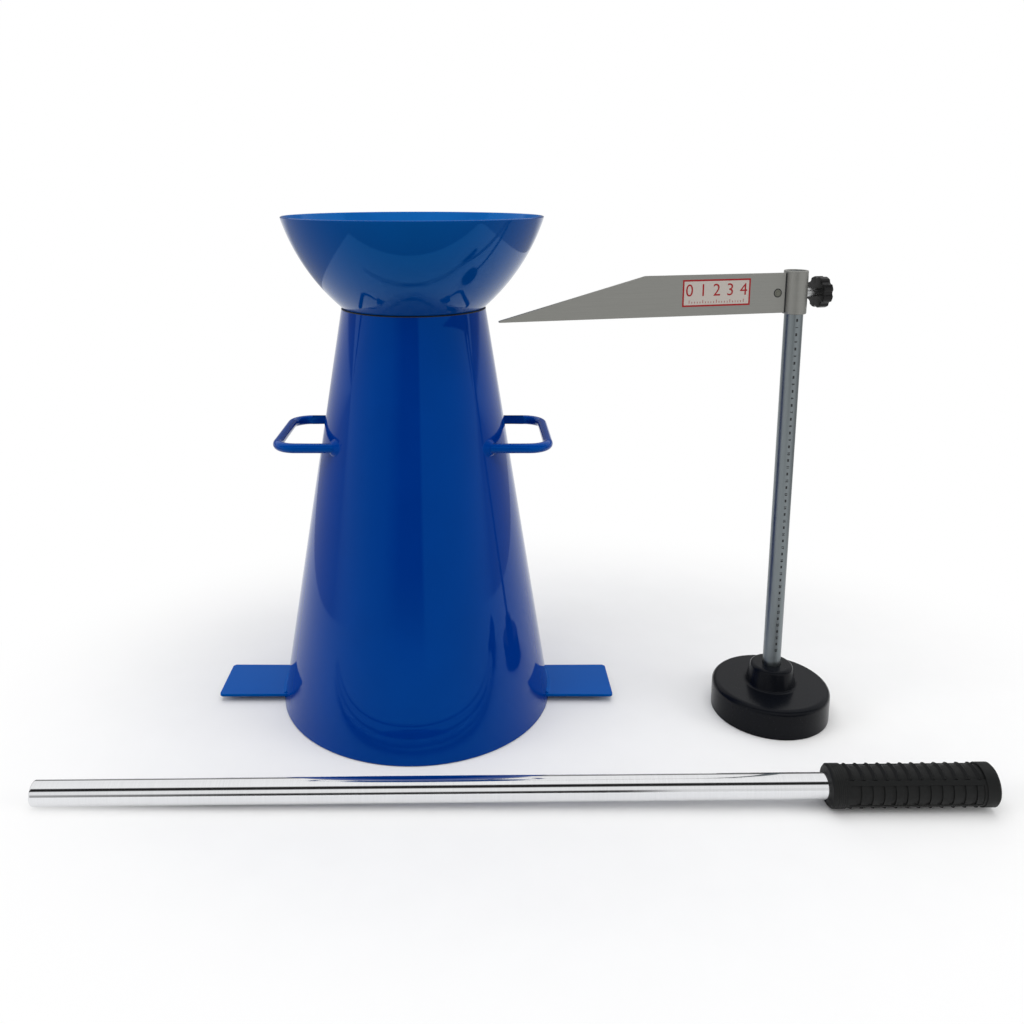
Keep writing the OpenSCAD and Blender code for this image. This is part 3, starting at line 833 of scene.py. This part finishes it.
def build_rivet():
    """Rivet that joins the blade to the lug, dimpled by its setting, with a dark ring of painted shade round
    its head.
    """
    head = [(RIVET_HEAD_R - off, up) for off, up in RIVET_HEAD]
    back = [(0, -LUG_T - RIVET_HEAD_H)] + [(r, -LUG_T - rise) for r, rise in reversed(head)]
    shank = [(RIVET_R, -LUG_T), (RIVET_R, BLADE_T)]
    front = [(r, BLADE_T + rise) for r, rise in head]
    dimple = [(RIVET_DIMPLE_R, BLADE_T + RIVET_DIMPLE_H), (0, BLADE_T + RIVET_DIMPLE_H)]
    bm = bmesh.new()
    spin(bm, back + shank + front + dimple, AT_RIVET, segments=48)
    finish_piece("blade_rivet_head", bm, DULL, "gauge_arm", "zinc_steel", "blade_rivet", sharp=30)
    # Painted shade: a dark ring on the blade round the rivet's head
    inner, top = RIVET_HEAD_R - RIVET_SHADE_SUNK, BLADE_T + RIVET_SHADE_H
    bm = bmesh.new()
    spin(bm, [(inner, BLADE_T), (RIVET_SHADE_R, BLADE_T), (RIVET_SHADE_R - RIVET_SHADE_EDGE, top),
              (inner, top)], AT_RIVET, segments=48)
    finish_piece("blade_rivet_painted_shade", bm, INK_AND_SHADE, "gauge_arm", "satin_steel")


def flute_shape(angle):
    """Part of the knob's radius that round finger flutes leave at an angle."""
    step = 2 * math.pi / FLUTES
    off = (angle + step / 2) % step - step / 2
    centre = KNOB_R + FLUTE_R - FLUTE_DEPTH
    across = centre * math.sin(off)
    if abs(across) >= FLUTE_R:
        return 1.0
    return min(1.0, (centre * math.cos(off) - math.sqrt(FLUTE_R ** 2 - across ** 2)) / KNOB_R)


def build_clamp():
    """Smooth-shanked screw and its fluted knob."""
    bm = bmesh.new()
    spin(bm, [(0, SCREW_TIP), (SCREW_R - SCREW_CHAMFER, SCREW_TIP), (SCREW_R, SCREW_TIP + SCREW_CHAMFER),
              (SCREW_R, SCREW_END), (0, SCREW_END)], AT_CLAMP, segments=64)
    finish_piece("clamp_screw_shank", bm, ZINC, "clamp", "zinc_steel", "clamp_screw")
    top, flat = KNOB_X + KNOB_T, KNOB_R - KNOB_EDGE
    shoulder = top - KNOB_DOME + math.sqrt(KNOB_DOME ** 2 - flat ** 2) - KNOB_EDGE
    back = [(SCREW_R, KNOB_X)] + [(KNOB_R - off, KNOB_X + up) for off, up in KNOB_BACK]
    turns = [math.radians(a) for a in range(0, 90, 15)]
    edge = [(flat + KNOB_EDGE * math.cos(t), shoulder + KNOB_EDGE * math.sin(t)) for t in turns]
    dome = [(r, top - KNOB_DOME + math.sqrt(KNOB_DOME ** 2 - r * r)) for r in spread(flat, 0, 12)]
    bore = [(0, SCREW_END), (SCREW_R, SCREW_END)]
    bm = bmesh.new()
    spin(bm, back + edge + dome + bore, AT_CLAMP, segments=192, shape=flute_shape)
    finish_piece("clamp_knob_moulded", bm, PLASTIC, "clamp", "black_plastic", "clamp_knob", sharp=50)


def mark_tree():
    """Row of printed strokes, the first and then every so many of them long."""
    tree = bpy.data.node_groups.new("scale_marks", "GeometryNodeTree")
    for name, kind in (("Blank", "Geometry"), ("Count", "Int"), ("Step", "Vector"), ("Short", "Float"),
                       ("Long", "Float"), ("Width", "Float"), ("Every", "Int"), ("Ink", "Material")):
        tree.interface.new_socket(name, in_out="INPUT", socket_type="NodeSocket" + kind)
    tree.interface.new_socket("Marks", in_out="OUTPUT", socket_type="NodeSocketGeometry")
    given = node(tree, "NodeGroupInput").outputs
    row = node(tree, "GeometryNodeMeshLine", {"Count": given["Count"], "Offset": given["Step"]})
    order = node(tree, "GeometryNodeInputIndex")
    rest = node(tree, "ShaderNodeMath", {0: order.outputs[0], 1: given["Every"]}, operation="MODULO")
    short = node(tree, "ShaderNodeMath", {0: rest.outputs[0], 1: 0.5}, operation="GREATER_THAN")
    reach = node(tree, "ShaderNodeMix", {0: short.outputs[0], 2: given["Long"], 3: given["Short"]})
    size = node(tree, "ShaderNodeCombineXYZ", {"X": reach.outputs[0], "Y": given["Width"], "Z": 1})
    stroke = node(tree, "GeometryNodeMeshGrid", {"Size X": 1, "Size Y": 1, "Vertices X": 5, "Vertices Y": 2})
    flush = node(tree, "GeometryNodeTransform", {"Geometry": stroke.outputs[0], "Translation": (0.5, 0, 0)})
    marks = node(tree, "GeometryNodeInstanceOnPoints",
                 {"Points": row.outputs[0], "Instance": flush.outputs[0], "Scale": size.outputs[0]})
    whole = node(tree, "GeometryNodeRealizeInstances", {"Geometry": marks.outputs[0]})
    inked = node(tree, "GeometryNodeSetMaterial", {"Geometry": whole.outputs[0], "Material": given["Ink"]})
    node(tree, "NodeGroupOutput", {"Marks": inked.outputs[0]})
    return tree


MARKS = mark_tree()


def run_marks(count, step, width, short, long, every, ink):
    """Mesh of strokes in a row down from the origin, in millimetres, flat in the XY plane."""
    values = {"Count": count, "Step": (0, -step / 1000, 0), "Width": width / 1000, "Short": short / 1000,
              "Long": long / 1000, "Every": every, "Ink": ink}
    made = run_tree(bpy.data.meshes.new("marks"), MARKS, values)
    made.transform(Matrix.Scale(1000, 4))
    return made


def numeral(text, height, x, y, turn=0.0, weight=0.0):
    """Mesh of a plain numeral in millimetres, flat in the XY plane, turned and centred on x and y."""
    font = bpy.data.curves.new("numeral", "FONT")
    font.body = text
    font.size = height * FONT_PER_NUMERAL
    font.align_x = "CENTER"
    font.align_y = "CENTER"
    font.resolution_u = 3
    font.offset = weight
    source = bpy.data.objects.new("numeral", font)
    scene.collection.objects.link(source)
    mesh = bpy.data.meshes.new_from_object(source.evaluated_get(bpy.context.evaluated_depsgraph_get()))
    bpy.data.objects.remove(source)
    mesh.transform(Matrix.Translation((x, y, 0)) @ Matrix.Rotation(turn, 4, "Z"))
    return mesh


def thicken(bm, depth):
    """Give flat print its film thickness along Z."""
    bmesh.ops.remove_doubles(bm, verts=bm.verts, dist=JOIN_PRINT_WITHIN)
    grown = bmesh.ops.extrude_face_region(bm, geom=list(bm.faces), use_keep_orig=True)
    raised = [part for part in grown["geom"] if isinstance(part, bmesh.types.BMVert)]
    bmesh.ops.translate(bm, vec=(0, 0, depth), verts=raised)


def build_scale():
    """Printed scale down the post from the blade's zero: numbers that read along it, a stroke between."""
    count = SCALE_L // SCALE_STEP
    marks = run_marks(count, SCALE_STEP, SCALE_STROKE_H, SCALE_STROKE_W, SCALE_STROKE_W, 1, INK_AND_SHADE)
    marks.transform(Matrix.Translation((-SCALE_STROKE_W / 2, -SCALE_STEP / 2, 0)))
    bm = bmesh.new()
    bm.from_mesh(marks)
    for k in range(count + 1):
        bm.from_mesh(numeral(str(k), SCALE_NUMERAL, 0, -SCALE_STEP * k, -math.pi / 2, SCALE_WEIGHT))
    bmesh.ops.triangulate(bm, faces=bm.faces)
    bmesh.ops.subdivide_edges(bm, edges=[e for e in bm.edges if e.calc_length() > SCALE_FACET], cuts=1)
    thicken(bm, FILM)
    for v in bm.verts:
        angle = (v.co.x + SCALE_ASIDE) / POST_R
        r = POST_R + v.co.z
        v.co = AT_POST @ Vector((r * math.sin(angle), -r * math.cos(angle), CONE_H + v.co.y))
    finish_piece("post_scale_print", bm, INK_AND_SHADE, "gauge_stand", "post_steel")


def build_label():
    """Plain bordered label on the blade, with a row of numbers over short strokes."""
    left, low = -LABEL_PLACE - LABEL_W / 2, LABEL_LOW
    right, high = left + LABEL_W, low + LABEL_H
    bm = bmesh.new()
    extrude(bm, rectangle(left, low, right, high), BLADE_T - FILM_SUNK, BLADE_T + LABEL_T, AT_BLADE)
    finish_piece("blade_label_ground", bm, LABEL_GROUND, "gauge_arm", "satin_steel")
    in_left, in_low = left + LABEL_BORDER, low + LABEL_BORDER
    in_right, in_high = right - LABEL_BORDER, high - LABEL_BORDER
    bm = bmesh.new()
    for strip in ((left, low, right, in_low), (left, in_high, right, high),
                  (left, in_low, in_left, in_high), (in_right, in_low, right, in_high)):
        bm.faces.new([bm.verts.new((x, y, 0)) for x, y in rectangle(*strip)])
    first, every = left + LABEL_MARGIN, LABEL_SPACING // LABEL_STEP
    count = (LABEL_NUMBERS - 1) * every + 1
    marks = run_marks(count, LABEL_STEP, LABEL_STROKE, LABEL_SHORT, LABEL_LONG, every, LABEL_RED)
    marks.transform(Matrix.Rotation(math.pi / 2, 4, "Z"))
    marks.transform(Matrix.Translation((first, low + LABEL_STROKES_Y, 0)))
    bm.from_mesh(marks)
    for k in range(LABEL_NUMBERS):
        bm.from_mesh(numeral(str(k), LABEL_NUMERAL, first + LABEL_SPACING * k, low + LABEL_NUMERAL_Y))
    thicken(bm, LABEL_PRINT_T)
    for v in bm.verts:
        v.co = AT_BLADE @ Vector((v.co.x, v.co.y, BLADE_T + LABEL_T - LABEL_PRINT_SUNK + v.co.z))
    finish_piece("blade_label_print", bm, LABEL_RED, "gauge_arm", "satin_steel")


def build_rod():
    """Plated bar with broken edges."""
    bm = bmesh.new()
    side = rounded([(0, 0, 0), (ROD_R, 0, ROD_EDGE), (ROD_R, ROD_L, ROD_EDGE), (0, ROD_L, 0)], steps=8)
    spin(bm, side, AT_ROD)
    finish_piece("rod_bar_plated", bm, CHROME, "tamping_rod", "rod_chrome", "rod_bar")


def grip_r(along, angle):
    """Radius of the grip's body at a distance along it and an angle from its side face."""
    to_end = min(along, GRIP_L - along)
    if to_end < GRIP_BAND:
        in_grooves = GROOVES_FROM < along < GROOVES_TO
        grooved = in_grooves and (along - GROOVES_FROM) % GROOVE_PITCH > GROOVE_LAND
        return GRIP_R - max(0, GRIP_CHAMFER - to_end) - (GROOVE_DEPTH if grooved else 0)
    across = abs(PAD_R * math.sin(angle))
    if across < PANEL_HALF and to_end > GRIP_BAND + PANEL_MARGIN:
        return PANEL_FLOOR
    return PAD_R if across < PAD_HALF else GRIP_CORE


def round_grip(r, angle, along):
    """Point at a radius, an angle from the grip's side face and a distance along it."""
    return Vector((r * math.sin(angle), r * math.cos(angle), along))


def build_grip():
    """Moulded grip's body: a grooved front band, thumb pads on two sides and a sunk panel in each."""
    turns = full_turn(160)
    ends = [GRIP_STEP * k for k in range(round((GRIP_BAND + PANEL_MARGIN) / GRIP_STEP) + 2)]
    rows = [[AT_GRIP @ round_grip(ROD_R + GRIP_GAP, t, 0) for t in turns]]
    for along in ends + [GRIP_L - end for end in reversed(ends)]:
        rows.append([AT_GRIP @ round_grip(grip_r(along, t), t, along) for t in turns])
    bm = bmesh.new()
    made = skin(bm, rows, closed=True)
    bm.faces.new(made[-1])
    finish_piece("rod_grip_moulded", bm, RUBBER, "tamping_rod", "black_rubber", "rod_grip", sharp=50)


def row_tree():
    """Whatever it is given, repeated along a line at even steps, as the ribs of a moulding are."""
    tree = bpy.data.node_groups.new("rib_row", "GeometryNodeTree")
    for name, kind in (("Rib", "Geometry"), ("Count", "Int"), ("Step", "Vector"), ("Rubber", "Material")):
        tree.interface.new_socket(name, in_out="INPUT", socket_type="NodeSocket" + kind)
    tree.interface.new_socket("Row", in_out="OUTPUT", socket_type="NodeSocketGeometry")
    given = node(tree, "NodeGroupInput").outputs
    line = node(tree, "GeometryNodeMeshLine", {"Count": given["Count"], "Offset": given["Step"]})
    ribs = node(tree, "GeometryNodeInstanceOnPoints", {"Points": line.outputs[0], "Instance": given["Rib"]})
    whole = node(tree, "GeometryNodeRealizeInstances", {"Geometry": ribs.outputs[0]})
    done = node(tree, "GeometryNodeSetMaterial", {"Geometry": whole.outputs[0], "Material": given["Rubber"]})
    node(tree, "NodeGroupOutput", {"Row": done.outputs[0]})
    return tree


RIB_ROW = row_tree()


def build_grip_ribs():
    """Ribs over and under the grip and bars across its two panels: one set, repeated along it."""
    half, low = RIB_W / 2, GRIP_CORE - RIB_SUNK
    rib = [(low, -half), (GRIP_CORE, -half), (GRIP_R, 0), (GRIP_CORE, half), (low, half)]
    half, low = PANEL_BAR_W / 2, PANEL_FLOOR - RIB_SUNK
    bar = [(low, -half), (PANEL_BAR, -half), (PANEL_BAR, half), (low, half)]
    pad, panel = math.asin(PAD_HALF / PAD_R), math.asin(PANEL_HALF / PAD_R)
    pitch = (GRIP_L - 2 * GRIP_BAND) / GRIP_RIBS
    first = GRIP_BAND + pitch / 2
    bm = bmesh.new()
    for face in (0, math.pi):
        for section, start, end in ((rib, face + pad, face + math.pi - pad),
                                    (bar, face - panel, face + panel)):
            turns = spread(start, end, 32)
            rows = [[round_grip(r, t, first + z) / 1000 for r, z in section] for t in turns]
            made = skin(bm, rows, closed=True)
            bm.faces.new(made[0])
            bm.faces.new(made[-1])
    mesh = bpy.data.meshes.new("rib_set")
    bm.to_mesh(mesh)
    bm.free()
    row = run_tree(mesh, RIB_ROW, {"Count": GRIP_RIBS, "Step": (0, 0, pitch / 1000), "Rubber": RUBBER})
    row.transform(AT_GRIP @ Matrix.Scale(1000, 4))
    bm = bmesh.new()
    bm.from_mesh(row)
    finish_piece("rod_grip_ribs", bm, RUBBER, "tamping_rod", "black_rubber", sharp=30)


def ray_kinds(tree):
    """Light path outputs: 1 for what the camera sees, and 1 for what gloss and glass show."""
    path = node(tree, "ShaderNodeLightPath").outputs
    shown = node(tree, "ShaderNodeMath", {0: path["Is Glossy Ray"], 1: path["Is Transmission Ray"]},
                 operation="MAXIMUM")
    return path["Is Camera Ray"], shown.outputs[0]


def build_floor():
    """Plain white floor that keeps the set's shadow and runs out to white round it."""
    mesh = bpy.data.meshes.new("floor")
    mesh.from_pydata([(x, y, 0) for x, y in rectangle(*FLOOR_BOX)], [], [(0, 1, 2, 3)])
    made = bpy.data.materials.new("white_floor")
    made.use_nodes = True
    tree = made.node_tree
    tree.nodes.clear()
    place = node(tree, "ShaderNodeTexCoord").outputs["Object"]
    middle = node(tree, "ShaderNodeMapping",
                  {"Vector": place, "Location": WHITE_SHIFT, "Scale": WHITE_SQUEEZE})
    away = node(tree, "ShaderNodeVectorMath", {0: middle.outputs[0]}, operation="LENGTH")
    far = node(tree, "ShaderNodeMapRange", {0: away.outputs["Value"], 1: WHITE_FROM, 2: WHITE_BEYOND},
               interpolation_type="SMOOTHSTEP")
    fine = noise(tree, place, 30, 2)
    paint = node(tree, "ShaderNodeMix", {0: fine, 6: linear("#F3F3F3"), 7: linear("#F6F6F6")},
                 data_type="RGBA")
    camera, mirrored = ray_kinds(tree)
    shown = node(tree, "ShaderNodeMath", {0: camera, 1: mirrored}, operation="MAXIMUM")
    tone = node(tree, "ShaderNodeMix", {0: shown.outputs[0], 6: linear("#B4B4B4"), 7: paint.outputs[2]},
                data_type="RGBA")
    near = node(tree, "ShaderNodeBsdfDiffuse", {"Color": tone.outputs[2]})
    out = node(tree, "ShaderNodeMath", {0: far.outputs[0], 1: shown.outputs[0]}, operation="MULTIPLY")
    white = node(tree, "ShaderNodeEmission", {"Color": WHITE, "Strength": 1})
    both = node(tree, "ShaderNodeMixShader", {0: out.outputs[0], 1: near.outputs[0], 2: white.outputs[0]})
    node(tree, "ShaderNodeOutputMaterial", {"Surface": both.outputs[0]})
    mesh.materials.append(made)
    floor = bpy.data.objects.new("floor", mesh)
    scene.collection.objects.link(floor)


def round_ramp(tree, angle, stops):
    """Grey ramp over a whole turn, through stops (angle in degrees, level)."""
    turn = node(tree, "ShaderNodeMapRange", {0: angle, 1: -math.pi, 2: math.pi})
    made = node(tree, "ShaderNodeValToRGB", {0: turn.outputs[0]})
    ramp = made.color_ramp.elements
    while len(ramp) < len(stops):
        ramp.new(0.5)
    for element, (degrees, level) in zip(ramp, stops):
        element.position = (degrees + 180) / 360
        element.color = (level, level, level, 1)
    return made.outputs[0]


def build_world():
    """White studio whose gloss shows a room: grey below, a dark beam overhead and a doorway in front."""
    world = bpy.data.worlds.new("studio")
    world.use_nodes = True
    tree = world.node_tree
    tree.nodes.clear()
    place = node(tree, "ShaderNodeTexCoord").outputs["Generated"]
    way = node(tree, "ShaderNodeSeparateXYZ", {0: place}).outputs
    front = node(tree, "ShaderNodeMath", {0: way["Y"], 1: -1}, operation="MULTIPLY").outputs[0]
    rise = node(tree, "ShaderNodeMath", {0: way["Z"], 1: front}, operation="ARCTAN2")
    wall = round_ramp(tree, rise.outputs[0], ROOM_RISE)
    turn = node(tree, "ShaderNodeMath", {0: way["X"], 1: front}, operation="ARCTAN2")
    door = round_ramp(tree, turn.outputs[0], DOOR_TURN)
    lower = node(tree, "ShaderNodeMapRange", {0: way["Z"], 1: DOOR_TOP[0], 2: DOOR_TOP[1]})
    upper = node(tree, "ShaderNodeMapRange", {0: way["Z"], 1: DOOR_FOOT[0], 2: DOOR_FOOT[1]})
    tall = node(tree, "ShaderNodeMath", {0: lower.outputs[0], 1: upper.outputs[0]}, operation="MULTIPLY")
    shade = node(tree, "ShaderNodeMix", {0: tall.outputs[0], 6: WHITE, 7: door}, data_type="RGBA")
    gloss = node(tree, "ShaderNodeMix", {0: 1, 6: wall, 7: shade.outputs[2]}, data_type="RGBA",
                 blend_type="MULTIPLY")
    camera, mirrored = ray_kinds(tree)
    lit = node(tree, "ShaderNodeMix", {0: mirrored, 6: AMBIENT, 7: gloss.outputs[2]},
               data_type="RGBA")
    seen = node(tree, "ShaderNodeMix", {0: camera, 6: lit.outputs[2], 7: WHITE}, data_type="RGBA")
    sky = node(tree, "ShaderNodeBackground", {"Color": seen.outputs[2], "Strength": 1})
    node(tree, "ShaderNodeOutputWorld", {"Surface": sky.outputs[0]})
    scene.world = world


def add_lamp(name, place, target, size, power):
    """Soft square lamp aimed at a point."""
    lamp = bpy.data.lights.new(name, "AREA")
    lamp.shape, lamp.size, lamp.energy = "SQUARE", size, power
    made = bpy.data.objects.new(name, lamp)
    scene.collection.objects.link(made)
    made.location = place
    made.rotation_euler = (Vector(target) - Vector(place)).to_track_quat("-Z", "Y").to_euler()
    made.visible_glossy = False


def build_camera():
    """Camera at the photograph's height and angle to the cone."""
    lens = bpy.data.cameras.new("camera")
    lens.sensor_width = 36
    lens.lens = CAMERA_LENS
    lens.shift_x, lens.shift_y = CAMERA_SHIFT
    made = bpy.data.objects.new("camera", lens)
    scene.collection.objects.link(made)
    made.location = CAMERA_PLACE
    made.rotation_euler = (math.radians(90 - CAMERA_DOWN), 0, 0)
    scene.camera = made


build_cone()
build_handle("left_handle", -1)
build_handle("right_handle", 1)
build_foot_plate("left_foot_plate", -1)
build_foot_plate("right_foot_plate", 1)
build_handle_roots()
build_foot_fillets()
build_welds()
build_funnel()
build_stand()
build_arm()
build_clamp()
build_scale()
build_label()
build_rod()
build_grip()
build_grip_ribs()

for name in ("post_plug", "base_screw", "base_washer"):
    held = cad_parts[name]
    held.data.materials.clear()
    held.data.materials.append(ZINC)

build_floor()
build_world()
add_lamp("lamp_over", (0.1, -0.1, 2.2), target=(0.1, 0, 0), size=2.4, power=27)
add_lamp("lamp_left", (-1.7, -0.7, 1.0), target=(0, 0, 0.1), size=1.0, power=10)
add_lamp("lamp_right", (1.9, -0.7, 1.0), target=(0.1, 0, 0.1), size=1.0, power=9)
build_camera()
scene.view_settings.view_transform = "Standard"
